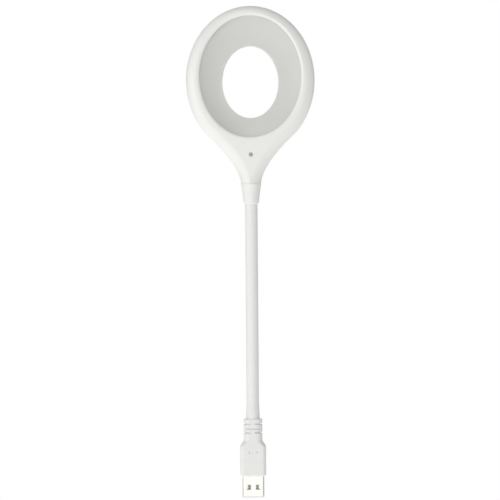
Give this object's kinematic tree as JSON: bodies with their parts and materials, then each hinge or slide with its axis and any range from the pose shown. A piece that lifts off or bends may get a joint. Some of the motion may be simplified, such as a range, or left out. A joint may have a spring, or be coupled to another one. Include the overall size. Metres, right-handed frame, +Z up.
{
  "type": "usb gooseneck reading lamp",
  "caption": "Small white reading lamp: a ring-shaped lit head with a touch contact on a smooth flexible gooseneck that ends in a USB-A plug.",
  "frame": {"origin": "centre of the plug's seating face, where the metal plug shell leaves the overmould", "axes": "+Z up the gooseneck to the head, +X to the lamp's right as seen from the lit side, -Y the way the light faces"},
  "size_m": [0.0714, 0.012, 0.2727],
  "materials": {
    "plug_plastic": "satin",
    "inner_plastic": "satin",
    "plug_steel": "satin",
    "contact_gold": "gloss",
    "inner_steel": "satin",
    "hose_steel": "satin",
    "sleeve_silicone": "matte",
    "wire_red": "satin",
    "collar_rubber": "satin",
    "casing_white": "gloss",
    "diffuser_milky": "satin",
    "board_white": "satin",
    "led_yellow": "gloss",
    "board_green": "satin",
    "chip_black": "satin",
    "touch_metal": "gloss"
  },
  "bodies": {
    "plug": {"plug_overmould": "plug_plastic", "plug_premould": "inner_plastic", "plug_shell": "plug_steel", "plug_tongue": "inner_plastic", "plug_contacts": "contact_gold", "lower_ferrule": "inner_steel", "hose_0": "hose_steel", "sleeve_0": "sleeve_silicone", "lead_0": "wire_red"},
    "link_1": {"hose_1": "hose_steel", "sleeve_1": "sleeve_silicone", "lead_1": "wire_red"},
    "link_2": {"hose_2": "hose_steel", "sleeve_2": "sleeve_silicone", "lead_2": "wire_red"},
    "link_3": {"hose_3": "hose_steel", "sleeve_3": "sleeve_silicone", "lead_3": "wire_red"},
    "link_4": {"hose_4": "hose_steel", "sleeve_4": "sleeve_silicone", "lead_4": "wire_red"},
    "link_5": {"hose_5": "hose_steel", "sleeve_5": "sleeve_silicone", "lead_5": "wire_red"},
    "link_6": {"hose_6": "hose_steel", "sleeve_6": "sleeve_silicone", "lead_6": "wire_red"},
    "link_7": {"hose_7": "hose_steel", "sleeve_7": "sleeve_silicone", "lead_7": "wire_red"},
    "link_8": {"hose_8": "hose_steel", "sleeve_8": "sleeve_silicone", "lead_8": "wire_red"},
    "link_9": {"hose_9": "hose_steel", "sleeve_9": "sleeve_silicone", "lead_9": "wire_red"},
    "head": {"hose_10": "hose_steel", "sleeve_10": "sleeve_silicone", "lead_10": "wire_red", "neck_collar": "collar_rubber", "front_casing": "casing_white", "rear_casing": "casing_white", "diffuser": "diffuser_milky", "touch_contact": "touch_metal", "led_board": "board_white", "leds": "led_yellow", "control_board": "board_green", "board_parts": "chip_black", "board_wires": "wire_red", "touch_spring": "inner_steel", "upper_ferrule": "inner_steel", "hose_clamp": "inner_steel", "clamp_screws": "inner_steel"}
  },
  "joints": [
    {"name": "bend_1", "type": "hinge", "parent": "plug", "child": "link_1", "pos_m": [0, 0, 0.045], "axis": [1, 0, 0], "range_deg": [-25, 25]},
    {"name": "bend_2", "type": "hinge", "parent": "link_1", "child": "link_2", "pos_m": [0, 0, 0.05611], "axis": [0, 1, 0], "range_deg": [-25, 25]},
    {"name": "bend_3", "type": "hinge", "parent": "link_2", "child": "link_3", "pos_m": [0, 0, 0.06722], "axis": [1, 0, 0], "range_deg": [-25, 25]},
    {"name": "bend_4", "type": "hinge", "parent": "link_3", "child": "link_4", "pos_m": [0, 0, 0.07833], "axis": [0, 1, 0], "range_deg": [-25, 25]},
    {"name": "bend_5", "type": "hinge", "parent": "link_4", "child": "link_5", "pos_m": [0, 0, 0.08944], "axis": [1, 0, 0], "range_deg": [-25, 25]},
    {"name": "bend_6", "type": "hinge", "parent": "link_5", "child": "link_6", "pos_m": [0, 0, 0.10056], "axis": [0, 1, 0], "range_deg": [-25, 25]},
    {"name": "bend_7", "type": "hinge", "parent": "link_6", "child": "link_7", "pos_m": [0, 0, 0.11167], "axis": [1, 0, 0], "range_deg": [-25, 25]},
    {"name": "bend_8", "type": "hinge", "parent": "link_7", "child": "link_8", "pos_m": [0, 0, 0.12278], "axis": [0, 1, 0], "range_deg": [-25, 25]},
    {"name": "bend_9", "type": "hinge", "parent": "link_8", "child": "link_9", "pos_m": [0, 0, 0.13389], "axis": [1, 0, 0], "range_deg": [-25, 25]},
    {"name": "bend_10", "type": "hinge", "parent": "link_9", "child": "head", "pos_m": [0, 0, 0.145], "axis": [0, 1, 0], "range_deg": [-25, 25]}
  ]
}
